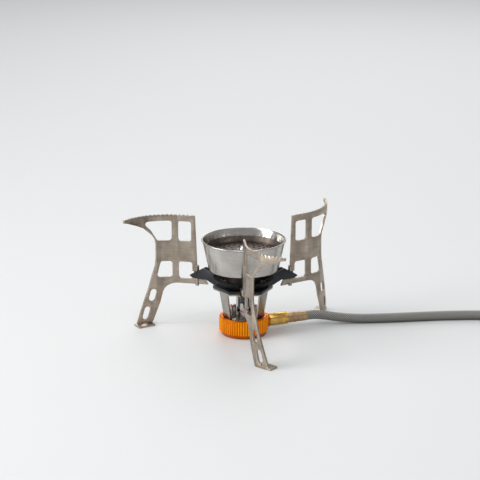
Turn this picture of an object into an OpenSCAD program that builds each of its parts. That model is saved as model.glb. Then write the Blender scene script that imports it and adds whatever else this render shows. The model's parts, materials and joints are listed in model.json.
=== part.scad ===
// Remote-canister camping stove: a round burner cup on a three-arm bracket, three curved
// folding legs that also carry the pot, a knurled base, and a braided gas hose whose far
// end is a canister valve with a folding wire handle.
// Origin: on the ground under the burner's axis. +Z is up, the front leg is towards -Y.

/* [Burner] */
// Outer diameter of the cup at its rim
cup_top_d = 65; // [62:0.5:66]
// Outer diameter of the cup at its base
cup_base_d = 54.4; // [52:0.2:56]
// Height of the cup's rim above the ground
cup_top_z = 75.7; // [74:0.1:78]
// Height of the cup's base above the ground
cup_base_z = 51.4; // [51:0.1:52]
// Wall of the pressed cup
cup_wall = 0.8; // [0.6:0.1:1]

/* [Legs] */
// Height of the pot supports above the ground
support_z = 88; // [86:0.5:92]
// Sheet thickness of the legs
leg_t = 1.5; // [1.2:0.1:1.8]
// Radius that the outer part of a leg is curved to
leg_curve_r = 39; // [37:0.5:41]
// Distance of the leg pivots from the burner's axis
pivot_r = 41.7; // [41.7:0.1:42.5]
// Swing of the front leg from straight out
front_swing = 5.5; // [2:0.5:90]
// Swing of the right leg from straight out
right_swing = 4.5; // [2:0.5:90]
// Swing of the left leg from straight out
left_swing = 18; // [2:0.5:90]
// Pitch of the teeth along the pot supports
tooth_pitch = 3.2; // [2.8:0.1:4]

/* [Base] */
// Diameter of the knurled base ring
base_d = 37.2; // [36:0.2:38]
// Height of the base ring's top edge
base_top_z = 14.6; // [14.6:0.1:15.5]
// Direction of the gas inlet, counter-clockwise from +X
inlet_az = 20; // [16:1:24]
// Height of the gas inlet's axis
inlet_z = 8; // [7.5:0.1:8.2]

/* [Gas hose] */
// Outer diameter of the braided hose
hose_d = 7; // [6.6:0.1:7]
// Diameter of the stored coil at the middle of its turns
coil_d = 77; // [75:1:79]

/* [Hidden] */

$fn = 64;
eps = 0.01;
gap = 0.3;

// Leg pivots: one every third of a turn, the first towards the front
arm_az = [-90, 30, 150];
bend_s = 15;            // length of the straight inner part of a leg
leg_end_s = 62.5;       // length of a leg's sheet from its pivot to the tip
finger_s = 9.6;         // length of the finger inside the pivot
pin_r = 0.8;
knuckle_r = 1.6;
boss_top_z = 42.8;
arm_low_z = 37.9;
hub_low_z = 36.9;
hub_top_z = 38.9;
hub_r = 19.5;
hub_flat = [-11.2, 13.4];
tube_r = 6;

// Gas inlet fittings, as distances from the burner's axis
nut_start = 19.9;
nut_end = 36;
ferrule_end = 52.2;

// Hose route on the ground, from the ferrule to the coil
hose_r = hose_d / 2;
exit_point = [ferrule_end * cos(inlet_az), ferrule_end * sin(inlet_az), inlet_z];
hose_route = [
    exit_point, [56, 20.2, 7.8], [63.5, 21.9, 6.7], [72, 22.9, 5.2], [82, 23.2, 4.1],
    [94, 23.6, 3.6], [108, 24.6, 3.6], [124, 26.4, 3.6], [140, 28.6, 3.6], [156, 30.6, 3.6],
    [172, 31.7, 3.6], [190, 32, 3.6], [208, 32, 3.6], [221, 32, 3.6], [234, 32, 3.6]
];
coil_r = coil_d / 2;
coil_z = 3.6;
coil_c = [234, 32 - coil_r, coil_z];
tail_route = [
    [coil_c[0] + coil_r, coil_c[1], coil_z + hose_d], [272.5, -14, 11], [272.5, -22, 12.6],
    [272.5, -30, 15], [272.5, -37, 16.6], [272.5, -44, 17]
];

// Canister valve: its axis stands at this place, the hose comes in along -Y
valve_x = 272.5;
valve_y = -75;
valve_z = 17;
thread_r = 5.56;

// ---------------------------------------------------------------- helpers

// Places children on a leg's sheet, a length s from the pivot: +X runs along the sheet
module on_sheet(s) {
    if (s <= bend_s)
        translate([s, 0, 0]) children();
    else
        translate([bend_s, leg_curve_r, 0])
            rotate([0, 0, (s - bend_s) / leg_curve_r * 180 / PI])
                translate([0, -leg_curve_r, 0]) children();
}

// Cuts an outline, drawn as (length, height) about the length s, through the sheet
module cut_at(s, depth = 12) {
    on_sheet(s) rotate([90, 0, 0]) linear_extrude(height = depth, center = true) children();
}

// Straight distance along the tangent at length s0 to the sheet at length s
function along(s, s0) = leg_curve_r * sin((s - s0) / leg_curve_r * 180 / PI);

// Outline with its corners rounded
module rounded(r) {
    offset(r = r, $fn = 24) offset(delta = -r) children();
}

// Round-ended slot between two points
module slot2d(a, b, r) {
    hull() {
        translate(a) circle(r, $fn = 28);
        translate(b) circle(r, $fn = 28);
    }
}

// Puts children at each leg pivot, +X pointing away from the burner's axis
module at_pivot(i, swing = 0) {
    rotate([0, 0, arm_az[i]]) translate([pivot_r, 0, 0]) rotate([0, 0, swing]) children();
}

// Ring turned about Z
module ring(r_out, r_in, z0, z1) {
    translate([0, 0, z0]) difference() {
        cylinder(r = r_out, h = z1 - z0);
        translate([0, 0, -1]) cylinder(r = r_in, h = z1 - z0 + 2);
    }
}

// Turned part from an outline of (radius, height) points
module turned(points) {
    rotate_extrude() polygon(points);
}

// Lays a part that is turned about Z along the gas inlet
module along_inlet() {
    rotate([0, 0, inlet_az]) translate([0, 0, inlet_z]) rotate([0, 90, 0]) children();
}

// Lays a part that is turned about Z along the line from the hose through the valve
module along_valve(d) {
    translate([valve_x, valve_y - d, valve_z]) rotate([90, 0, 0]) children();
}

module hex(af, h) {
    cylinder(d = af / cos(30), h = h, $fn = 6);
}

// Tube swept along a route of points
function unit(v) = v / norm(v);
function heading(p, i) = unit(p[min(i + 1, len(p) - 1)] - p[max(i - 1, 0)]);
function side_of(t) = unit(cross([0, 0, 1], t));
function sweep_ring(p, i, r, n) = let (t = heading(p, i), a = side_of(t), b = cross(t, a))
    [for (k = [0:n - 1]) p[i] + r * (cos(360 * k / n) * a + sin(360 * k / n) * b)];

module swept_tube(p, r, n = 10) {
    last = (len(p) - 1) * n;
    points = [for (i = [0:len(p) - 1]) each sweep_ring(p, i, r, n)];
    walls = [for (i = [0:len(p) - 2]) for (k = [0:n - 1])
        [i * n + k, (i + 1) * n + k, (i + 1) * n + (k + 1) % n, i * n + (k + 1) % n]];
    start_cap = [[for (k = [0:n - 1]) k]];
    end_cap = [[for (k = [n - 1:-1:0]) last + k]];
    polyhedron(points, concat(walls, start_cap, end_cap), convexity = 6);
}

// ---------------------------------------------------------------- legs

// Whole blank of a leg before its openings are punched: straight, then curved
module leg_blank() {
    sweep = (leg_end_s - bend_s) / leg_curve_r * 180 / PI;
    translate([-finger_s, -leg_t / 2, 0]) cube([finger_s + bend_s, leg_t, support_z]);
    translate([bend_s, leg_curve_r, 0]) rotate([0, 0, -90]) rotate_extrude(angle = sweep, $fn = 128)
        translate([leg_curve_r - leg_t / 2, 0]) square([leg_t, support_z]);
}

// Openings in the sheet: two pairs of windows and two slots with a small hole below
module leg_windows() {
    cut_at(9.15) rounded(2) translate([-5.45, 36.8]) square([10.9, 13.6]);
    cut_at(9.75) rounded(2) translate([-5.25, 67]) square([10.5, 16]);
    cut_at(25.7) rounded(2) polygon([[-6, 37.4], [6.3, 37.4], [3, 50.4], [-6, 50.4]]);
    cut_at(32) rounded(2)
        polygon([[along(20, 32), 67], [along(31.3, 32), 67], [along(36.4, 32), 75.6],
                 [along(41.5, 32), 80.8], [along(41, 32), 83], [along(20, 32), 83]]);
    cut_at(35.5) slot2d([-0.6, 25.4], [0.6, 20.8], 2.6);
    cut_at(41) slot2d([-0.8, 11.6], [0.8, 6.4], 2.6);
    cut_at(43) translate([0, 3]) circle(0.6);
}

// Everything outside the leg's outline
module leg_outline_cuts() {
    // below the lower strip, round the arch and down the inside of the shank
    cut_at(26, 30)
        polygon([[-60, -1], [-60, 33], [-13, 33], [-8.5, 32.8], [-5.2, 32], [-2.3, 30.6],
                 [-0.1, 28.4], [1.4, 25.2], [3.4, 17], [8.6, 3.4], [9.9, 0.2], [10.1, -1]]);
    // outside of the shank, round the neck and under the wing
    cut_at(44, 30)
        polygon([[along(50.2, 44), -1], [along(49.8, 44), 0.6], [along(45.8, 44), 11],
                 [along(39.3, 44), 27.7], [along(33.2, 44), 47], [along(32.5, 44), 53],
                 [along(32.5, 44), 64.5], [along(33.4, 44), 68.6], [along(35.8, 44), 71.9],
                 [along(42.6, 44), 78], [along(50, 44), 81.5], [along(61, 44), 85.6],
                 [40, 86.4], [40, -1]]);
    // inside of the pivot, above the finger, and the gap that the bracket's arm lies in
    translate([-20, -5, 37.5]) cube([20, 10, 60]);
    translate([-20, -5, 37.5]) cube([25.5, 10, 43.2 - 37.5]);
    rotate([90, 0, 0]) linear_extrude(height = 10, center = true)
        polygon([[-1, 50], [0, 50], [1.6, support_z + 1], [-1, support_z + 1]]);
    rotate([90, 0, 0]) linear_extrude(height = 10, center = true)
        polygon([[-20, 32], [-finger_s + 0.2, 32], [-finger_s + 3.4, 38], [-20, 38]]);
}

// Small notches that grip the pot
module leg_teeth() {
    for (s = [6:tooth_pitch:leg_end_s - 1])
        cut_at(s, 8) polygon([[-1.5, support_z + 0.7], [0, support_z - 0.9], [1.5, support_z + 0.7]]);
}

module leg() {
    difference() {
        union() {
            difference() {
                leg_blank();
                leg_outline_cuts();
                leg_windows();
                leg_teeth();
            }
            // rolled knuckles round the pivot pin
            translate([0, 0, 33]) cylinder(r = knuckle_r, h = 4.5);
            translate([0, 0, 43.2]) cylinder(r = knuckle_r, h = 4.8);
            // foot, bent inwards at the bottom of the shank
            on_sheet(44.4) translate([-7, -leg_t / 2 + 0.1, 0]) cube([13.8, 8.4, leg_t]);
        }
        translate([0, 0, 32]) cylinder(r = pin_r + 0.05, h = 15);
    }
}

module leg_front() { color("#8d867c") at_pivot(0, front_swing) leg(); }
module leg_right() { color("#8d867c") at_pivot(1, right_swing) leg(); }
module leg_left() { color("#8d867c") at_pivot(2, left_swing) leg(); }

// Headed pins, pressed into the bracket's arms from below
module leg_pins() {
    color("#b9bbbd") for (i = [0:2]) at_pivot(i) {
        translate([0, 0, 32]) cylinder(r = pin_r, h = 14.5);
        translate([0, 0, 31.6]) cylinder(r = 1.5, h = 1);
    }
}

// ---------------------------------------------------------------- bracket and burner

// One arm: a deep folded channel that rises from the hub and ends in a pointed head
module bracket_arm() {
    rotate([90, 0, 0]) linear_extrude(height = 5, center = true)
        polygon([[18.4, 32.6], [23.5, 34.6], [32.6, 38.4], [35, arm_low_z], [44, arm_low_z],
                 [46.9, 39.4], [46.9, 40.2], [35.4, 47], [33.8, 47], [27, 44.2], [20, 41.4],
                 [16, hub_top_z - 0.2], [16, hub_low_z + 0.2], [18.4, hub_low_z + 0.2]]);
}

// Plan of the bracket's middle: a six-sided plate with a flat across each arm
module hub_plan() {
    polygon([for (a = arm_az) for (side = hub_flat) [
        hub_r * cos(a) - side * sin(a), hub_r * sin(a) + side * cos(a)]]);
}

module support_bracket() {
    color("#2a2c2f") difference() {
        union() {
            translate([0, 0, hub_low_z]) linear_extrude(height = hub_top_z - hub_low_z) hub_plan();
            for (i = [0:2]) rotate([0, 0, arm_az[i]]) {
                bracket_arm();
                translate([pivot_r, 0, arm_low_z])
                    cylinder(r = 2.5, h = boss_top_z - arm_low_z);
            }
        }
        translate([0, 0, hub_low_z - 1]) cylinder(r = tube_r + 0.05, h = 5);
        for (i = [0:2]) rotate([0, 0, arm_az[i]]) {
            translate([18.5, -1.5, 36]) rotate([0, -19, 0]) translate([0, 0, 2.5]) cube([19, 3, 9]);
            translate([pivot_r, 0, boss_top_z]) cylinder(r = 3.2, h = 10);
            translate([pivot_r, 0, 30]) cylinder(r = pin_r - 0.01, h = 20);
        }
    }
}

// Dished guard under the cup
module heat_dish() {
    color("#26282b") difference() {
        turned([[tube_r + 0.05, hub_top_z], [17, hub_top_z], [18.6, 39.4], [23.8, 45.6],
                [23.2, 46.2], [17.9, 40.1], [16.8, 39.8], [tube_r + 0.05, 39.8]]);
        for (a = arm_az) rotate([0, 0, a]) translate([15.6, -2.8, 36]) cube([12, 5.6, 12]);
    }
}

module burner_spacer() {
    color("#5c5a58") ring(13, tube_r + 0.05, 39.8, cup_base_z);
}

// Pressed cup with a rounded foot and a rolled rim
module burner_cup() {
    rt = cup_top_d / 2;
    rb = cup_base_d / 2;
    color("#c3c4c4") turned([
        [tube_r + 0.05, cup_base_z], [rb - 2.2, cup_base_z], [rb - 0.9, cup_base_z + 0.6],
        [rb + 0.1, cup_base_z + 1.7], [rt - 0.9, cup_top_z - 1.6], [rt - 0.1, cup_top_z - 1],
        [rt, cup_top_z - 0.4], [rt - 0.5, cup_top_z], [rt - 1.1, cup_top_z - 0.2],
        [rt - 0.9 - cup_wall, cup_top_z - 1.7], [rb + 0.1 - cup_wall, cup_base_z + 2],
        [rb - 1.5, cup_base_z + 1.2], [rb - 2.4, cup_base_z + cup_wall],
        [tube_r + 0.05, cup_base_z + cup_wall]]);
}

// Mixing tube with four air holes below the bracket and a flange inside the cup
module mixing_tube() {
    flange_z = cup_base_z + cup_wall;
    color("#b9bbbd") difference() {
        union() {
            translate([0, 0, 15.4]) cylinder(r = tube_r, h = flange_z + 5 - 15.4);
            translate([0, 0, flange_z]) cylinder(r = 9.5, h = 1.2);
        }
        translate([0, 0, 14]) cylinder(r = tube_r - 1, h = 46);
        for (a = [0, 90]) rotate([0, 0, a + 45]) translate([-10, 0, 20.4]) rotate([0, 90, 0])
            cylinder(r = 2, h = 20);
    }
}

// Nut that clamps the frame, the bracket, the dish and the cup to the tube
module tube_nut() {
    color("#b08d4a") translate([0, 0, 31.7]) difference() {
        hex(17, 4);
        translate([0, 0, -1]) cylinder(r = tube_r + 0.02, h = 6);
    }
}

// Slotted inner can that spreads the gas under the flame plate
module flame_diffuser() {
    z0 = cup_base_z + cup_wall;
    color("#8c8f92") difference() {
        ring(20, 19.2, z0, z0 + 12);
        for (a = [0:20:340]) rotate([0, 0, a]) translate([15, -0.8, z0 + 2]) cube([8, 1.6, 7]);
    }
}

// Perforated plate that the flames stand on
module flame_plate() {
    z0 = cup_base_z + cup_wall + 12;
    color("#5c5a58") difference() {
        translate([0, 0, z0]) cylinder(r = 28.2, h = 0.8);
        translate([0, 0, z0 - 1]) cylinder(r = 2.05, h = 3);
        for (k = [1:4]) for (a = [0:360 / (8 * k):359])
            rotate([0, 0, a + 7 * k]) translate([8 + 4.3 * k - 1.6, 0, z0 - 1])
                cylinder(r = 1, h = 3, $fn = 16);
    }
}

// Ring that holds the plate's edge down in the cup
module flame_ring() {
    z0 = cup_base_z + cup_wall + 12.8;
    color("#9a9c9e") turned([[26.6, z0], [28.5, z0], [29.5, z0 + 4.6], [28.9, z0 + 4.6],
                             [28, z0 + 0.7], [26.6, z0 + 0.7]]);
}

// Domed cap in the middle of the plate
module burner_cap() {
    z0 = cup_base_z + cup_wall + 12.8;
    color("#b9bbbd") turned([[2.05, z0 + 1.2], [2.05, z0 + 2.6], [5.2, z0 + 2.4], [8.2, z0 + 1.6],
                             [9.6, z0 + 0.6], [9.6, z0], [8.9, z0], [7.9, z0 + 0.8], [5, z0 + 1.3]]);
}

module cap_screw() {
    z0 = cup_base_z + cup_wall + 15.4;
    color("#c9cbcc") difference() {
        union() {
            translate([0, 0, z0]) cylinder(r1 = 3.4, r2 = 2.6, h = 1.7);
            translate([0, 0, z0 - 8.4]) cylinder(r = 2, h = 8.5);
        }
        translate([-4, -0.4, z0 + 1]) cube([8, 0.8, 2]);
    }
}

// Nut under the plate, on the cap's screw
module cap_nut() {
    color("#a9abad") translate([0, 0, cup_base_z + cup_wall + 9]) difference() {
        hex(7, 3);
        translate([0, 0, -1]) cylinder(r = 2.02, h = 5);
    }
}

// ---------------------------------------------------------------- frame and base

// Pressed frame: a top plate and a bottom plate joined by three leaning straps
module lower_frame() {
    z0 = base_top_z - 1.3;
    strap_h = hub_low_z - z0;
    lean = atan((17.6 - 13.9) / strap_h);
    color("#c0c1c0") difference() {
        union() {
            translate([0, 0, z0]) cylinder(r = 14.4, h = 1.2);
            translate([0, 0, hub_low_z - 1.2]) linear_extrude(height = 1.2) difference() {
                offset(delta = -0.1) hub_plan();
                for (a = arm_az) rotate(a) translate([18.1, -2.8]) square([5, 5.6]);
            }
            for (a = arm_az) rotate([0, 0, a + 60]) translate([13.4, 0, z0]) rotate([0, lean, 0])
                rotate([90, 0, 90]) linear_extrude(height = 1.2)
                    polygon([[-5, 0.3], [5, 0.3], [6.3, strap_h - 0.5], [-6.3, strap_h - 0.5]]);
        }
        translate([0, 0, z0 - 1]) cylinder(r = 5, h = 3);
        translate([0, 0, hub_low_z - 3]) cylinder(r = tube_r + 0.05, h = 5);
        for (a = arm_az) rotate([0, 0, a]) translate([9.2, 0, z0 - 1]) cylinder(r = 1.55, h = 4);
    }
}

// Three studs that hold the frame on the block, each with a sealing washer and a dome nut
module frame_studs() {
    z0 = base_top_z - 0.1;
    color("#8f9496") for (a = arm_az) rotate([0, 0, a]) translate([9.2, 0, z0]) union() {
        rotate([0, 0, 30]) hex(4.4, 5.5);
        translate([0, 0, -6]) cylinder(r = 1.5, h = 6.1);
        translate([0, 0, 5.4]) cylinder(r = 1.1, h = 1.6);
    }
}

module stud_washers() {
    color("#c03028") for (a = arm_az) rotate([0, 0, a]) translate([9.2, 0, base_top_z + 5.4])
        ring(2.4, 1.12, 0, 0.8);
}

module jet_nozzle() {
    z0 = base_top_z - 1.3;
    color("#b08d4a") difference() {
        union() {
            translate([0, 0, z0 - 4]) cylinder(r = 3, h = 4.1);
            translate([0, 0, z0]) hex(8, 3.4);
            translate([0, 0, z0 + 3.3]) cylinder(r1 = 3, r2 = 1.6, h = 3.2);
        }
        translate([0, 0, z0 + 1]) cylinder(r = 0.5, h = 8);
        translate([0, 0, z0 - 5]) cylinder(r = 1.8, h = 7);
    }
}

module jet_filter() {
    color("#8f7a55") translate([0, 0, base_top_z - 5.2]) cylinder(r = 1.75, h = 4);
}

// Knurled ring round the base, with a short boss where the gas comes in
module base_ring() {
    r = base_d / 2;
    color("#f08010") difference() {
        union() {
            turned([[15.8, 0.4], [r - 1.6, 0.4], [r, 3.2], [r, base_top_z - 0.8],
                    [r - 0.8, base_top_z], [16.4, base_top_z], [15.8, base_top_z - 0.6]]);
            along_inlet() translate([0, 0, 16.6]) cylinder(r = 5.4, h = 3);
        }
        translate([0, 0, 1]) cylinder(r = 15.8, h = base_top_z);
        along_inlet() translate([0, 0, 10]) cylinder(r = 4.2, h = 14);
    }
}

// Gas block in the ring: the inlet spigot on its side, the jet on its top
module base_block() {
    top = base_top_z - 1.3;
    color("#b08d4a") difference() {
        union() {
            translate([0, 0, 2.4]) cylinder(r = 15.7, h = 7.2);
            translate([0, 0, 9]) cylinder(r = 13.6, h = top - 9);
            along_inlet() translate([0, 0, 12]) cylinder(r = 4.1, h = nut_start - 12);
            along_inlet() translate([0, 0, nut_start - 0.1]) cylinder(r = 3, h = 6.1);
        }
        translate([0, 0, top - 4.1]) cylinder(r = 3.02, h = 6);
        translate([0, 0, top - 7]) cylinder(r = 1.5, h = 6);
        along_inlet() cylinder(r = 1.3, h = nut_start + 8);
        for (a = arm_az) rotate([0, 0, a]) translate([9.2, 0, top - 5]) cylinder(r = 1.5, h = 8);
    }
}

module base_cover() {
    color("#303234") difference() {
        translate([0, 0, 0.5]) cylinder(r = 15.7, h = 1.9);
        for (a = arm_az) rotate([0, 0, a]) translate([9, 0, -1]) cylinder(r = 1.6, h = 2.6);
    }
}

module inlet_seal() {
    color("#1c1c1e") along_inlet() translate([0, 0, nut_start + 4.6]) rotate_extrude()
        translate([3.63, 0]) circle(0.6, $fn = 24);
}

// ---------------------------------------------------------------- hose and its ends

// Swivel nut with hexagon flats between two turned collars
module swivel_nut(length, af) {
    r = af / 2;
    intersection() {
        hex(af, length);
        rotate_extrude() polygon([[0, 0], [r - 0.3, 0], [r + 0.4, 0.7], [r + 0.4, length - 2.6],
                                  [r - 0.1, length - 2.2], [r - 0.1, length - 1.7],
                                  [r + 0.2, length - 1.4], [r + 0.2, length - 0.5],
                                  [r - 0.3, length], [0, length]]);
    }
}

module inlet_nut() {
    color("#b9984f") along_inlet() translate([0, 0, nut_start]) difference() {
        swivel_nut(nut_end - nut_start, 9.2);
        translate([0, 0, -1]) cylinder(r = 3.05, h = 7.1);
        translate([0, 0, 3.8]) cylinder(r = 4.3, h = 1.6);
        translate([0, 0, 3]) cylinder(r = 1.5, h = 20);
    }
}

// Crimped ferrule: a plain barrel, two crimp grooves and a narrower mouth
module crimped(length) {
    rotate_extrude() polygon([
        [1.5, 0], [4.1, 0], [4.1, 3.4], [3.8, 3.9], [3.8, 4.7], [4.1, 5.2], [4.05, 7],
        [3.7, 7.6], [3.7, 8.4], [3.95, 9], [3.85, length - 1], [3.6, length], [1.5, length]]);
}

module stove_ferrule() {
    color("#a98a68") along_inlet() translate([0, 0, nut_end]) crimped(ferrule_end - nut_end);
}

module gas_hose() { color("#7b7d7d") swept_tube(hose_route, hose_r, 10); }

// Stored coil: the first turn on the ground, and the start of a second turn lying on it
module gas_hose_coil() {
    color("#7b7d7d") translate(coil_c) difference() {
        union() {
            rotate([0, 0, 125]) rotate_extrude(angle = 325, $fn = 96)
                translate([coil_r - hose_r, -hose_r]) square([hose_d, hose_d]);
            rotate_extrude(angle = 160, $fn = 96)
                translate([coil_r - hose_r, hose_r]) square([hose_d, hose_d]);
        }
        // pressed in a little where the strap goes underneath
        rotate([0, 0, 45]) translate([coil_r - 6, -5.1, -hose_r - 1]) cube([12, 10.2, 1.8]);
    }
}

module gas_hose_tail() { color("#7b7d7d") swept_tube(tail_route, hose_r, 10); }

// Strap round both turns
module coil_tie() {
    w = hose_d + 1;
    color("#2b2b2d") translate([coil_c[0], coil_c[1], 0]) rotate([0, 0, 45])
        translate([coil_r, 0, 0]) difference() {
            translate([-w / 2 - 0.7, -5, 0.1]) cube([w + 1.4, 10, 2 * hose_d + 2.3]);
            translate([-w / 2, -6, 0.8]) cube([w, 12, 2 * hose_d + 0.8]);
        }
}

module valve_ferrule() {
    color("#a98a68") along_valve(-16.6) mirror([0, 0, 1]) crimped(14.4);
}

module valve_hose_nut() {
    color("#b9984f") along_valve(-16.6) difference() {
        swivel_nut(8.6, 10);
        translate([0, 0, -1]) cylinder(r = 1.5, h = 12);
        translate([0, 0, 5]) cylinder(r = 3.05, h = 5);
    }
}

// ---------------------------------------------------------------- canister valve

// Turned body with a spigot for the hose nut and a barrel for the needle
module valve_body() {
    color("#b9bbbd") difference() {
        union() {
            translate([valve_x, valve_y, 10.2]) turned([
                [0, 0], [7.9, 0], [7.9, 10], [7, 12.6], [4.4, 13.6], [0, 13.6]]);
            along_valve(-11.4) cylinder(r = 3, h = 6);
            along_valve(-8) cylinder(r = 5, h = 16);
            translate([valve_x, valve_y, 6]) cylinder(r = 4.4, h = 5);
        }
        along_valve(-19) cylinder(r = 1.2, h = 18);
        along_valve(0) cylinder(r = 1.85, h = 12);
        along_valve(6.1) cylinder(r = 2.9, h = 3);
        translate([valve_x, valve_y, 2]) cylinder(r = 1.4, h = 15);
    }
}

// Threaded collar that screws on to the canister
module canister_collar() {
    color("#f08010") translate([valve_x, valve_y, 0.2]) difference() {
        turned([[0, 0], [10.4, 0], [11.4, 1], [11.4, 9], [10.4, 10], [0, 10]]);
        translate([0, 0, -1]) cylinder(r = thread_r, h = 9);
        translate([0, 0, 5]) cylinder(r = 6.1, h = 1.2);
        translate([0, 0, 2]) cylinder(r = 4.45, h = 12);
    }
}

module collar_seal() {
    color("#1c1c1e") translate([valve_x, valve_y, 0]) ring(5.5, 4.45, 6.4, 8.1);
}

module opening_pin() {
    color("#b9984f") translate([valve_x, valve_y, 5.5]) union() {
        cylinder(r = 0.9, h = 7);
        translate([0, 0, 1.5]) cylinder(r = 1.35, h = 4);
    }
}

module needle_spindle() {
    color("#c9cbcc") along_valve(0.4) difference() {
        union() {
            cylinder(r1 = 0.3, r2 = 1.2, h = 3);
            translate([0, 0, 2.9]) cylinder(r = 1.8, h = 16.9);
        }
        translate([0, 0, 14.8]) cylinder(r = 1.02, h = 6);
    }
}

module spindle_seal() {
    color("#1c1c1e") along_valve(7.2) rotate_extrude() translate([2.35, 0])
        circle(0.5, $fn = 20);
}

module gland_nut() {
    color("#b9984f") along_valve(8.1) difference() {
        swivel_nut(3.6, 9);
        translate([0, 0, -1]) cylinder(r = 1.85, h = 6);
    }
}

// Hub that the wire handle turns, fixed on the spindle by a screw
module control_hub() {
    color("#b9984f") along_valve(12) difference() {
        turned([[0, 0], [4.3, 0], [5, 0.7], [5, 7.6], [4.3, 8.3], [0, 8.3]]);
        translate([0, 0, -1]) cylinder(r = 1.82, h = 10.3);
        translate([0, 0, 4.2]) rotate([90, 0, 0]) translate([0, 0, 2.6]) cylinder(r = 0.95, h = 4);
        translate([0, 0, 4.2]) rotate([-90, 0, 0]) translate([0, 0, 2.6]) cylinder(r = 0.95, h = 4);
    }
}

module hub_screw() {
    color("#a9abad") along_valve(20.3) difference() {
        union() {
            translate([0, 0, -4]) cylinder(r = 1, h = 4.1);
            cylinder(r1 = 2.4, r2 = 1.9, h = 1.3);
        }
        translate([-3, -0.35, 0.7]) cube([6, 0.7, 1]);
    }
}

// Folding wire loop, hinged in the hub's two side holes
module wire_handle() {
    half = 7.4;
    reach = 20;
    bend = 3;
    wire = 0.9;
    color("#c9cbcc") translate([valve_x, valve_y - 16.2, valve_z]) rotate([0, 90, 180]) union() {
        for (m = [0, 1]) mirror([m, 0, 0]) {
            translate([2.7, 0, 0]) rotate([0, 90, 0]) cylinder(r = wire, h = half - 4.7 + eps);
            translate([half - 2, 2, 0]) rotate([0, 0, -90]) rotate_extrude(angle = 90)
                translate([2, 0]) circle(wire, $fn = 24);
            translate([half, 2, 0]) rotate([-90, 0, 0]) cylinder(r = wire, h = reach - 2 - bend);
            translate([half - bend, reach - bend, 0]) rotate_extrude(angle = 90)
                translate([bend, 0]) circle(wire, $fn = 24);
        }
        translate([-half + bend, reach, 0]) rotate([0, 90, 0])
            cylinder(r = wire, h = 2 * (half - bend));
    }
}

leg_front();
leg_right();
leg_left();
leg_pins();
support_bracket();
heat_dish();
burner_spacer();
burner_cup();
mixing_tube();
tube_nut();
flame_diffuser();
flame_plate();
flame_ring();
burner_cap();
cap_screw();
cap_nut();
lower_frame();
frame_studs();
stud_washers();
jet_nozzle();
jet_filter();
base_ring();
base_block();
base_cover();
inlet_seal();
inlet_nut();
stove_ferrule();
gas_hose();
gas_hose_coil();
gas_hose_tail();
coil_tie();
valve_ferrule();
valve_hose_nut();
valve_body();
canister_collar();
collar_seal();
opening_pin();
needle_spindle();
spindle_seal();
gland_nut();
control_hub();
hub_screw();
wire_handle();
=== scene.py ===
# %% [markdown]
# # A low camping stove with folding legs
# The stove has a round burner cup on a black three-arm bracket, three curved sheet-steel
# legs that also carry the pot, an orange knurled base and a braided gas hose.

# %% Load the frame
import json
import math

import bmesh
import bpy
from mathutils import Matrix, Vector


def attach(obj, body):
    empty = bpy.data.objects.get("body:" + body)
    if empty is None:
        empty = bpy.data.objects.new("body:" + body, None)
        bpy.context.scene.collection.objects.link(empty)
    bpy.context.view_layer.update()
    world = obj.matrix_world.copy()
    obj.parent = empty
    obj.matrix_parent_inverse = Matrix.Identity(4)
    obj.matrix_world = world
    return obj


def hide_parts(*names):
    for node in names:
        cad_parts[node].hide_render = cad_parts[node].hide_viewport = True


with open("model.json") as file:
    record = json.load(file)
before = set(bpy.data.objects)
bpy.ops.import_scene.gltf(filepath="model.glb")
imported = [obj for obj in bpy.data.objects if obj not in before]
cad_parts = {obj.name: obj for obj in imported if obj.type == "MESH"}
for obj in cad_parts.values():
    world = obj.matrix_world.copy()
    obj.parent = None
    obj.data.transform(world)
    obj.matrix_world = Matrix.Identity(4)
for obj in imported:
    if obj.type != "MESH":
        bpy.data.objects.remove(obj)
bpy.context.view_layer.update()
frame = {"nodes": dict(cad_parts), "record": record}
nodes = frame["nodes"]
MM = 0.001
print("CAD nodes:", len(nodes))

# %% [markdown]
# ## Camera
# A long lens far away keeps upright edges almost parallel, as in a product view. The camera
# looks along +Y and a little down, so the burner cup hides most of what is inside it.

# %% Camera
LENS_MM = 161.1
CAMERA_AT = (-0.00282, -1.57316, 0.5427)
LOOKING_DOWN = 16.57

camera_data = bpy.data.cameras.new("camera")
camera_data.lens = LENS_MM
camera_data.sensor_width = 36
camera_data.clip_start = 0.01
camera_data.clip_end = 50
camera = bpy.data.objects.new("camera", camera_data)
camera.location = CAMERA_AT
camera.rotation_euler = (math.radians(90 - LOOKING_DOWN), 0, 0)
bpy.context.scene.collection.objects.link(camera)
bpy.context.scene.camera = camera
print("camera", tuple(camera.location))

# %% [markdown]
# ## The gas hose
# The hose is a rubber or nylon tube in a tight steel braid. It keeps its length and bends
# only gently, so it is one smooth centre line with a round section swept along it. It leaves
# its ferrule straight, sinks to the ground, runs off to the side, and its spare length is
# stored as a coil that ends at the canister valve.


# %% The hose's centre line
def smooth_line(points, steps):
    """A curve through all the points, with the given number of steps between two of them."""
    line = []
    for i in range(len(points) - 1):
        p0 = points[max(i - 1, 0)]
        p1, p2 = points[i], points[i + 1]
        p3 = points[min(i + 2, len(points) - 1)]
        for k in range(steps):
            t = k / steps
            line.append(0.5 * ((2 * p1) + (p2 - p0) * t + (2 * p0 - 5 * p1 + 4 * p2 - p3) * t ** 2
                               + (3 * p1 - p0 - 3 * p2 + p3) * t ** 3))
    line.append(points[-1])
    return line


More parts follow.
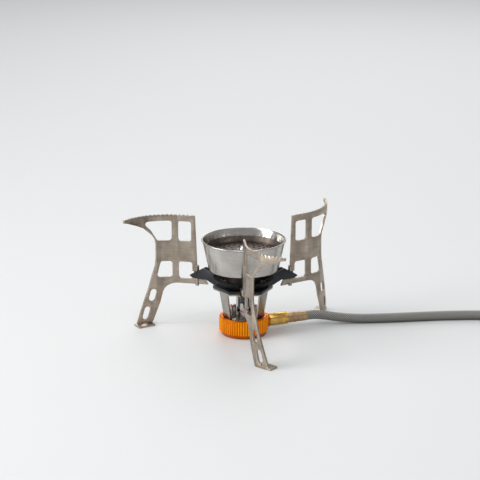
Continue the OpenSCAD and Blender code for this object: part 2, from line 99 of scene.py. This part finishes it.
HOSE_D = 7 * MM
INLET_AZ = math.radians(20)
FERRULE_END = 52.2
exit_mm = (FERRULE_END * math.cos(INLET_AZ), FERRULE_END * math.sin(INLET_AZ), 8)
ground_mm = [
    exit_mm, (56, 20.2, 7.8), (63.5, 21.9, 6.7), (72, 22.9, 5.2), (82, 23.2, 4.1),
    (94, 23.6, 3.6), (108, 24.6, 3.6), (124, 26.4, 3.6), (140, 28.6, 3.6), (156, 30.6, 3.6),
    (172, 31.7, 3.6), (190, 32, 3.6), (208, 32, 3.6), (221, 32, 3.6), (234, 32, 3.6),
]
COIL_R = 38.5
COIL_CENTRE = (234, -6.5)
COIL_Z = 3.6
tail_mm = [(272.5, -14, 11), (272.5, -22, 12.6), (272.5, -30, 15), (272.5, -37, 16.6),
           (272.5, -44, 17)]


def coil_point(turned):
    """The hose's centre after it has turned so many degrees round the coil, in mm."""
    angle = math.radians(90 - turned)
    climb = min(max((turned - 285) / 65, 0), 1)
    climb = climb * climb * (3 - 2 * climb)
    return (COIL_CENTRE[0] + COIL_R * math.cos(angle), COIL_CENTRE[1] + COIL_R * math.sin(angle),
            COIL_Z + 7.05 * climb)


coil_mm = [coil_point(turned) for turned in range(15, 451, 15)]
hose_points = [Vector(p) * MM for p in ground_mm + coil_mm + tail_mm]
hose_line = smooth_line(hose_points, 6)


# %% [markdown]
# A swept tube made in mesh code can carry its own UV map: U goes once round the hose and V
# runs along it in metres, so that a braid pattern keeps its real size through every bend.

# %% Sweep a round section along the line
def mesh_piece(name, bm, smooth=True):
    """A finished piece from a bmesh, with its place in its mesh."""
    mesh = bpy.data.meshes.new(name)
    bm.to_mesh(mesh)
    bm.free()
    for polygon in mesh.polygons:
        polygon.use_smooth = smooth
    piece = bpy.data.objects.new(name, mesh)
    bpy.context.scene.collection.objects.link(piece)
    return piece


def swept(name, line, radius, sides):
    """A closed tube along a line, with a UV map of turns round it and metres along it."""
    bm = bmesh.new()
    uv = bm.loops.layers.uv.new("along")
    rings = []
    run = [0.0]
    side = None
    for i, p in enumerate(line):
        ahead = (line[min(i + 1, len(line) - 1)] - line[max(i - 1, 0)]).normalized()
        side = Vector((0, 0, 1)).cross(ahead) if side is None else side - ahead * side.dot(ahead)
        side.normalize()
        up = ahead.cross(side)
        rings.append([bm.verts.new(p + radius * (math.cos(a) * side + math.sin(a) * up))
                      for a in (2 * math.pi * k / sides for k in range(sides))])
        if i:
            run.append(run[-1] + (p - line[i - 1]).length)
    for i in range(len(rings) - 1):
        for k in range(sides):
            n = (k + 1) % sides
            face = bm.faces.new((rings[i][k], rings[i][n], rings[i + 1][n], rings[i + 1][k]))
            corners = ((k, i), (k + 1, i), (k + 1, i + 1), (k, i + 1))
            for loop, (turn, step) in zip(face.loops, corners):
                loop[uv].uv = (turn / sides, run[step])
    bm.faces.new(list(reversed(rings[0])))
    bm.faces.new(rings[-1])
    return mesh_piece(name, bm)


hose = swept("braided_hose", hose_line, HOSE_D / 2, 24)
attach(hose, "stove")
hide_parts("gas_hose", "gas_hose_coil", "gas_hose_tail")
print("hose faces:", len(hose.data.polygons))

# %% [markdown]
# ## Colours and a helper for shader nodes
# Colours are written as the hex values that a colour picker shows. Blender works with linear
# light, so one function turns them over.


# %% Helpers for materials
def linear(hex_colour, alpha=1.0):
    """An sRGB hex colour as linear values."""
    value = hex_colour.lstrip("#")
    channels = [int(value[i:i + 2], 16) / 255 for i in (0, 2, 4)]
    return tuple(c / 12.92 if c <= 0.04045 else ((c + 0.055) / 1.055) ** 2.4
                 for c in channels) + (alpha,)


def add_node(owner, kind, links=None, **settings):
    """Adds one node to a material or a node tree. Links give an input a socket or a value.
    Settings are the node's properties, or inputs by name with _ for a space."""
    tree = getattr(owner, "node_tree", owner)
    node = tree.nodes.new(kind)
    for key, value in settings.items():
        if hasattr(node, key):
            setattr(node, key, value)
        else:
            node.inputs[key.replace("_", " ")].default_value = value
    for socket, source in (links or {}).items():
        if isinstance(source, bpy.types.NodeSocket):
            tree.links.new(source, node.inputs[socket])
        else:
            node.inputs[socket].default_value = source
    return node


def ramp(material, source, stops):
    """A colour ramp from a list of (position, colour)."""
    node = add_node(material, "ShaderNodeValToRGB", {"Fac": source})
    elements = node.color_ramp.elements
    elements[0].position, elements[0].color = stops[0]
    elements[1].position, elements[1].color = stops[-1]
    for position, colour in stops[1:-1]:
        elements.new(position).color = colour
    return node.outputs["Color"]


def new_material(name, **settings):
    """A material with its main shader, whose sockets are set from the settings."""
    material = bpy.data.materials.new(name)
    material.use_nodes = True
    shader = material.node_tree.nodes["Principled BSDF"]
    for key, value in settings.items():
        shader.inputs[key.replace("_", " ")].default_value = value
    return material, shader


def connect(material, source, shader, socket):
    material.node_tree.links.new(source, shader.inputs[socket])


# %% [markdown]
# ## Sheet and turned metals
# A metal's look is mostly its roughness: rolling leaves long fine lines, turning leaves
# rings, and handling leaves soft smudges. One recipe covers all of them. A stretched noise
# gives the fine lines, a broad noise the smudges, and both vary colour and roughness a little.

# %% Worked metals
def worked_metal(name, dark, light, rough, line_scale=(900, 900, 60), smudge_mm=12, bump=0.05,
                 spread=0.12):
    """Metal with fine lines. line_scale is how many lines per metre run across each axis."""
    material, shader = new_material(name, Metallic=1.0, Roughness=rough)
    place = add_node(material, "ShaderNodeTexCoord").outputs["Object"]
    stretched = add_node(material, "ShaderNodeMapping", {"Vector": place}, Scale=line_scale)
    lines = add_node(material, "ShaderNodeTexNoise", {"Vector": stretched.outputs["Vector"]},
                     Scale=1.0, Detail=3.0, Roughness=0.6)
    smudge = add_node(material, "ShaderNodeTexNoise", {"Vector": place},
                      Scale=1000 / smudge_mm, Detail=4.0, Roughness=0.55)
    blend = add_node(material, "ShaderNodeMix", {"A": lines.outputs["Fac"], "B": smudge.outputs["Fac"]},
                     Factor=0.6)
    tint = ramp(material, blend.outputs["Result"],
                [(0.3, linear(dark)), (0.7, linear(light))])
    gloss = add_node(material, "ShaderNodeMapRange", {"Value": blend.outputs["Result"]},
                     From_Min=0.3, From_Max=0.7, To_Min=rough + spread / 2, To_Max=rough - spread / 2)
    relief = add_node(material, "ShaderNodeBump", {"Height": lines.outputs["Fac"]},
                      Strength=bump, Distance=0.0002)
    connect(material, tint, shader, "Base Color")
    connect(material, gloss.outputs["Result"], shader, "Roughness")
    connect(material, relief.outputs["Normal"], shader, "Normal")
    return material


leg_steel = worked_metal("rolled stainless sheet", "#857a6d", "#c2b5a6", 0.34, (90, 90, 1400))
cup_steel = worked_metal("spun stainless cup", "#a5a19d", "#cfcbc6", 0.22, (60, 60, 2600), bump=0.03)
frame_steel = worked_metal("pressed stainless strap", "#96928b", "#bdb9b1", 0.28, (1200, 1200, 80))
pin_steel = worked_metal("zinc-bright steel", "#9da0a2", "#c8cacb", 0.3)
wire_steel = worked_metal("drawn stainless wire", "#b0b1b2", "#d6d7d8", 0.24)
burner_steel = worked_metal("heat-darkened stainless", "#4a4340", "#8b8078", 0.42, smudge_mm=6)
turned_aluminium = worked_metal("turned aluminium", "#b9bbbd", "#dfe0e1", 0.24)
brass = worked_metal("turned brass", "#b88d3c", "#e6bd6c", 0.26, smudge_mm=5)
copper_brass = worked_metal("crimped copper brass", "#9f7f5e", "#cdae88", 0.32, smudge_mm=5)
orange_anodised = worked_metal("orange anodised aluminium", "#ff8806", "#ffaa1c", 0.28,
                               smudge_mm=8)
# painted shade: a darker orange for the base ring and the valve collar, standing for the shade in the
# grooves between the ribs
orange_groove_painted_shade = worked_metal("orange anodised, in the grooves", "#b45204", "#dc760c", 0.4,
                             smudge_mm=8)
filter_wire = worked_metal("sintered brass", "#6b5a38", "#937d52", 0.6, smudge_mm=1)
print("worked metals made")

# %% [markdown]
# ## Black coated steel
# The bracket and the dish are sheet steel with a thin black coat. The coat isn't a metal to
# the eye: it is a dark plastic-like layer with a soft shine and a very fine pebble. The dish
# sits in shadow under the cup, so its coat is made darker and duller: painted shade.

# %% Coated steel, plastic and rubber
def coated(name, dark, light, rough, grain_mm, bump, shine=0.5):
    """A non-metal coat or moulding with a fine pebble of the given size."""
    material, shader = new_material(name, Metallic=0.0, Roughness=rough, Specular_IOR_Level=shine)
    place = add_node(material, "ShaderNodeTexCoord").outputs["Object"]
    grain = add_node(material, "ShaderNodeTexNoise", {"Vector": place}, Scale=1000 / grain_mm,
                     Detail=2.0)
    wear = add_node(material, "ShaderNodeTexNoise", {"Vector": place}, Scale=90.0, Detail=5.0)
    tint = ramp(material, wear.outputs["Fac"], [(0.35, linear(dark)), (0.7, linear(light))])
    gloss = add_node(material, "ShaderNodeMapRange", {"Value": wear.outputs["Fac"]},
                     From_Min=0.3, From_Max=0.7, To_Min=rough - 0.06, To_Max=rough + 0.08)
    relief = add_node(material, "ShaderNodeBump", {"Height": grain.outputs["Fac"]},
                      Strength=bump, Distance=0.0001)
    connect(material, tint, shader, "Base Color")
    connect(material, gloss.outputs["Result"], shader, "Roughness")
    connect(material, relief.outputs["Normal"], shader, "Normal")
    return material


black_coat = coated("black coated steel", "#15171b", "#2c3035", 0.36, 0.35, 0.25, shine=0.35)
# painted shade: the dish's coat is darker and less shiny than the bracket's because the dish sits in
# shadow under the cup
dish_coat_painted_shade = coated("black coat dulled by heat", "#08080a", "#141416", 0.6, 0.35, 0.3, shine=0.15)
black_plastic = coated("moulded black plastic", "#1b1c1e", "#26272a", 0.5, 0.5, 0.3)
seal_rubber = coated("nitrile rubber", "#141416", "#1e1e20", 0.65, 0.4, 0.2)
red_fibre = coated("red fibre washer", "#9c1c14", "#cf3a2c", 0.5, 0.3, 0.3)
print("coats made")

# %% [markdown]
# ## The hose's braid
# A braid is two families of flat wire bundles that cross at about forty-five degrees. Two
# slanted waves on the hose's own UV map make them: where one bundle is on top it is lit, and
# where both dip there is a dark gap. A bundle is about 1.8 mm wide on a 7 mm hose.

# %% Braided steel
ROUND_HOSE = 12
ALONG_HOSE = ROUND_HOSE / (math.pi * HOSE_D)
braid, braid_shader = new_material("braided stainless wire", Metallic=0.7, Roughness=0.42)
braid_uv = add_node(braid, "ShaderNodeUVMap", uv_map="along")
waves = []
for slant in (1, -1):
    turned = add_node(braid, "ShaderNodeVectorMath",
                      {0: braid_uv.outputs["UV"], 1: (ROUND_HOSE, slant * ALONG_HOSE, 0)},
                      operation="DOT_PRODUCT")
    saw = add_node(braid, "ShaderNodeMath", {0: turned.outputs["Value"]}, operation="FRACT")
    centred = add_node(braid, "ShaderNodeMath", {0: saw.outputs["Value"], 1: 0.5},
                       operation="PINGPONG")
    waves.append(centred.outputs["Value"])
crossing = add_node(braid, "ShaderNodeMath", {0: waves[0], 1: waves[1]}, operation="MULTIPLY")
wires = add_node(braid, "ShaderNodeMath", {0: crossing.outputs["Value"], 1: 4.0},
                 operation="MULTIPLY")
braid_tint = ramp(braid, wires.outputs["Value"],
                  [(0.02, linear("#1c1c1b")), (0.22, linear("#82817c")), (0.7, linear("#e2e0d9"))])
braid_relief = add_node(braid, "ShaderNodeBump", {"Height": wires.outputs["Value"]},
                        Strength=0.8, Distance=0.0004)
connect(braid, braid_tint, braid_shader, "Base Color")
connect(braid, braid_relief.outputs["Normal"], braid_shader, "Normal")
hose.data.materials.append(braid)

# %% [markdown]
# ## Strap webbing
# The strap round the coil is plain black webbing: a fine over-and-under weave, with no shine.

# %% Webbing
webbing, webbing_shader = new_material("black webbing", Roughness=0.9, Sheen_Weight=0.3)
webbing_place = add_node(webbing, "ShaderNodeTexCoord").outputs["Object"]
weave = add_node(webbing, "ShaderNodeTexChecker", {"Vector": webbing_place}, Scale=900.0,
                 Color1=linear("#1d1d20"), Color2=linear("#34343a"))
weave_relief = add_node(webbing, "ShaderNodeBump", {"Height": weave.outputs["Fac"]},
                        Strength=0.6, Distance=0.0003)
connect(webbing, weave.outputs["Color"], webbing_shader, "Base Color")
connect(webbing, weave_relief.outputs["Normal"], webbing_shader, "Normal")
print("braid and webbing made")

# %% [markdown]
# The strap itself is a band that runs round both turns of the hose. Its path is a rectangle
# with round corners, and its thickness swells at every cross thread, so the ribs of the
# webbing are real. A second, shorter layer is the loose end, folded back over the top.


# %% The strap round the coil
def strap_path(half_width, low, high, corner, step):
    """Points and outward directions round a rectangle with round corners, in mm."""
    path = []
    corners = ((half_width, high, 0), (-half_width, high, 90), (-half_width, low, 180),
               (half_width, low, 270))
    for x, z, start in corners:
        cx = x - math.copysign(corner, x)
        cz = z - corner if z == high else z + corner
        for turn in range(0, 91, 15):
            a = math.radians(start + turn)
            path.append((cx + corner * math.cos(a), cz + corner * math.sin(a),
                         math.cos(a), math.sin(a)))
    dense = []
    for i, (x, z, nx, nz) in enumerate(path):
        x2, z2, nx2, nz2 = path[(i + 1) % len(path)]
        count = max(int(math.hypot(x2 - x, z2 - z) / step), 1)
        for k in range(count):
            t = k / count
            dense.append((x + (x2 - x) * t, z + (z2 - z) * t,
                          nx + (nx2 - nx) * t, nz + (nz2 - nz) * t))
    return dense


def strap_band(bm, path, closed, half_length, thickness, rib):
    """A flat band along a path. Every second point is a little thicker, which makes ribs."""
    angle = math.radians(45)
    place = Vector((COIL_CENTRE[0] + COIL_R * math.cos(angle),
                    COIL_CENTRE[1] + COIL_R * math.sin(angle), 0))
    out = Vector((math.cos(angle), math.sin(angle), 0))
    along = Vector((-math.sin(angle), math.cos(angle), 0))
    loops = []
    for i, (x, z, nx, nz) in enumerate(path):
        thick = thickness + (rib if i % 2 else 0)
        loop = []
        for depth, y in ((0, -half_length), (thick * 0.8, -half_length), (thick, -half_length + 0.35),
                         (thick, half_length - 0.35), (thick * 0.8, half_length), (0, half_length)):
            at = place + out * (x + nx * depth) + along * y + Vector((0, 0, z + nz * depth))
            loop.append(bm.verts.new(at * MM))
        loops.append(loop)
    pairs = list(zip(loops, loops[1:]))
    if closed:
        pairs.append((loops[-1], loops[0]))
    for first, second in pairs:
        for k in range(6):
            n = (k + 1) % 6
            bm.faces.new((first[k], first[n], second[n], second[k]))
    if not closed:
        bm.faces.new(list(reversed(loops[0])))
        bm.faces.new(loops[-1])


THREAD_STEP = 0.45
THREAD_SWELL = 0.12
strap_bm = bmesh.new()
around = strap_path(half_width=4.05, low=0.85, high=15.65, corner=2.0, step=THREAD_STEP)
strap_band(strap_bm, around, True, half_length=5.0, thickness=0.55, rib=THREAD_SWELL)
over = strap_path(half_width=4.75, low=0.15, high=16.35, corner=2.5, step=THREAD_STEP)
loose_end = over[:len(over) // 3]
strap_band(strap_bm, loose_end, False, half_length=4.6, thickness=0.5, rib=THREAD_SWELL)
bmesh.ops.recalc_face_normals(strap_bm, faces=strap_bm.faces)
strap = mesh_piece("webbing_strap", strap_bm, smooth=False)
strap.data.materials.append(webbing)
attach(strap, "stove")
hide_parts("coil_tie")
print("strap faces:", len(strap.data.polygons))

# %% [markdown]
# ## Finishes on the CAD solids
# Every CAD solid takes the finish of its real piece. The record names a material slot for
# each node, so one table from slot to finish is enough.

# %% Put the finishes on
finishes = {
    "leg_steel": leg_steel, "pin_steel": pin_steel, "black_paint": black_coat,
    "cup_steel": cup_steel, "burner_steel": burner_steel, "frame_steel": frame_steel,
    "turned_aluminium": turned_aluminium, "orange_anodised": orange_anodised, "brass": brass,
    "copper_brass": copper_brass, "filter_wire": filter_wire, "hose_braid": braid,
    "strap_fabric": webbing, "black_plastic": black_plastic, "seal_rubber": seal_rubber,
    "wire_steel": wire_steel, "red_washer": red_fibre,
}
slot_of = {row["node"]: row["material_slot"] for row in frame["record"]["subparts"]}
finish_of = {name: finishes[slot] for name, slot in slot_of.items()}
# the dish takes the darker coat of painted shade under the cup
finish_of["heat_dish"] = dish_coat_painted_shade
# the base ring and the valve collar take the darker orange of the painted groove shade
finish_of["base_ring"] = finish_of["canister_collar"] = orange_groove_painted_shade
for name, node in nodes.items():
    node.data.materials.clear()
    node.data.materials.append(finish_of[name])
print("finished nodes:", len(slot_of))

# %% [markdown]
# ## Softened copies of the solids
# Real stamped and turned pieces have no razor edges. A copy of a node is merged, because
# its triangles are loose, and a narrow bevel catches a line of light along every edge.


def softened(node_name, width_mm, body, angle=35):
    """A copy of a CAD node with narrow rounded edges, which stands for that node."""
    bm = bmesh.new()
    bm.from_mesh(nodes[node_name].data)
    bmesh.ops.remove_doubles(bm, verts=bm.verts, dist=1e-6)
    bmesh.ops.dissolve_limit(bm, angle_limit=math.radians(1), verts=bm.verts, edges=bm.edges)
    piece = mesh_piece(node_name + "_piece", bm)
    piece.data.materials.clear()
    piece.data.materials.append(finish_of[node_name])
    bevel = piece.modifiers.new("edge", "BEVEL")
    bevel.width = width_mm * MM
    bevel.segments = 2
    bevel.limit_method = "ANGLE"
    bevel.angle_limit = math.radians(angle)
    bevel.harden_normals = True
    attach(piece, body)
    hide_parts(node_name)
    return piece


for side in ("front", "right", "left"):
    leg_piece = softened("leg_" + side, 0.2, "leg_" + side + "_body")
    print(leg_piece.name, len(leg_piece.data.polygons))
for node_name, width_mm in (
        ("support_bracket", 0.35), ("heat_dish", 0.15), ("burner_cup", 0.15), ("lower_frame", 0.2),
        ("base_block", 0.25), ("base_cover", 0.3), ("frame_studs", 0.25), ("inlet_nut", 0.3),
        ("valve_hose_nut", 0.3), ("valve_body", 0.3), ("canister_collar", 0.3), ("gland_nut", 0.25)):
    softened(node_name, width_mm, "stove")
softened("control_hub", 0.25, "valve_control")

# %% [markdown]
# ## The knurled base ring
# The ring is turned aluminium with straight ribs rolled into its side so that it can be
# gripped. The ring itself is painted a darker orange than the ribs: painted shade that stands for the
# grooves. Ribs repeat round an axis,
# which is what Geometry Nodes do best: one rib is placed on each point of a circle and turned
# to face outwards, and the result becomes a plain mesh.

# %% Ribs round the base
tree = bpy.data.node_groups.new("ribs round a ring", "GeometryNodeTree")
tree.interface.new_socket("Geometry", in_out="OUTPUT", socket_type="NodeSocketGeometry")
for input_name, kind in (("Count", "NodeSocketInt"), ("Radius", "NodeSocketFloat"),
                         ("Rib width", "NodeSocketFloat"), ("Rib height", "NodeSocketFloat"),
                         ("Middle", "NodeSocketVector"), ("Finish", "NodeSocketMaterial")):
    tree.interface.new_socket(input_name, in_out="INPUT", socket_type=kind)

sizes = add_node(tree, "NodeGroupInput").outputs
circle = add_node(tree, "GeometryNodeMeshCircle",
                  {"Vertices": sizes["Count"], "Radius": sizes["Radius"]})
rib = add_node(tree, "GeometryNodeMeshCylinder",
               {"Vertices": 6, "Radius": sizes["Rib width"], "Depth": sizes["Rib height"]})
position = add_node(tree, "GeometryNodeInputPosition")
facing = add_node(tree, "FunctionNodeAlignRotationToVector",
                  {"Vector": position.outputs["Position"]}, axis="X")
placed = add_node(tree, "GeometryNodeInstanceOnPoints",
                  {"Points": circle.outputs["Mesh"], "Instance": rib.outputs["Mesh"],
                   "Rotation": facing.outputs["Rotation"]})
raised = add_node(tree, "GeometryNodeTransform",
                  {"Geometry": placed.outputs["Instances"], "Translation": sizes["Middle"]})
realized = add_node(tree, "GeometryNodeRealizeInstances",
                    {"Geometry": raised.outputs["Geometry"]})
finished = add_node(tree, "GeometryNodeSetMaterial",
                    {"Geometry": realized.outputs["Geometry"], "Material": sizes["Finish"]})
add_node(tree, "NodeGroupOutput", {"Geometry": finished.outputs["Geometry"]})
print("rib tree nodes:", len(tree.nodes))

# %% [markdown]
# The tree's inputs are sizes, so the same tree serves the stove's base and the smaller
# collar on the canister valve. Each use ends as a plain mesh of its own.

# %% Use the rib tree twice
def ribbed(name, **values):
    """A knurl as a plain mesh. Values are the tree's inputs by name, with _ for a space."""
    holder = bpy.data.objects.new("rib holder", bpy.data.meshes.new("rib holder"))
    bpy.context.scene.collection.objects.link(holder)
    modifier = holder.modifiers.new("ribs", "NODES")
    modifier.node_group = tree
    for item in tree.interface.items_tree:
        key = item.name.replace(" ", "_")
        if item.in_out == "INPUT" and key in values:
            modifier[item.identifier] = values[key]
    bpy.context.view_layer.update()
    evaluated = holder.evaluated_get(bpy.context.evaluated_depsgraph_get())
    mesh = bpy.data.meshes.new_from_object(evaluated)
    holder.modifiers.remove(modifier)
    bpy.data.objects.remove(holder)
    ribs = bpy.data.objects.new(name, mesh)
    bpy.context.scene.collection.objects.link(ribs)
    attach(ribs, "stove")
    print(name, "faces:", len(mesh.polygons))
    return ribs


VALVE_AT = (272.5 * MM, -75 * MM)
ribbed("base_ribs", Count=60, Radius=0.0183, Rib_width=0.00062, Rib_height=0.0108,
       Middle=(0, 0, 0.0086), Finish=orange_anodised)
collar_ribs = ribbed("collar_ribs", Count=44, Radius=0.0113, Rib_width=0.0005, Rib_height=0.0074,
                     Middle=(*VALVE_AT, 0.0052), Finish=orange_anodised)

# %% [markdown]
# ## Studio
# The floor and the light are plain: a pale flat floor, one strong soft light low on the left,
# weaker ones overhead and behind, and an even surround that the metal can mirror.

# %% Floor, surround and lights
floor_bm = bmesh.new()
bmesh.ops.create_grid(floor_bm, x_segments=2, y_segments=2, size=4.0)
floor = mesh_piece("floor", floor_bm, smooth=False)
floor_paint, floor_shader = new_material("pale floor", Roughness=0.6)
floor_shader.inputs["Base Color"].default_value = linear("#d9dada")
floor.data.materials.append(floor_paint)

world = bpy.data.worlds.new("studio")
bpy.context.scene.world = world
world.use_nodes = True
world.node_tree.nodes["Background"].inputs["Color"].default_value = linear("#f2f3f5")
world.node_tree.nodes["Background"].inputs["Strength"].default_value = 0.5


def soft_light(name, place, aim, size, power):
    """A square light that faces a point."""
    light = bpy.data.lights.new(name, "AREA")
    light.size = size
    light.energy = power
    lamp = bpy.data.objects.new(name, light)
    lamp.location = place
    lamp.rotation_euler = (Vector(aim) - Vector(place)).to_track_quat("-Z", "Y").to_euler()
    bpy.context.scene.collection.objects.link(lamp)


soft_light("key", (-1.3, -0.35, 0.7), (0, 0, 0.04), 0.9, 19)
soft_light("top", (0.1, -0.3, 1.4), (0, 0, 0.04), 1.0, 6.5)
soft_light("rim", (0.2, 1.2, 0.9), (0, 0, 0.04), 1.0, 6)

view = bpy.context.scene.view_settings
view.view_transform = "Standard"
print("lights:", len(bpy.data.lights))
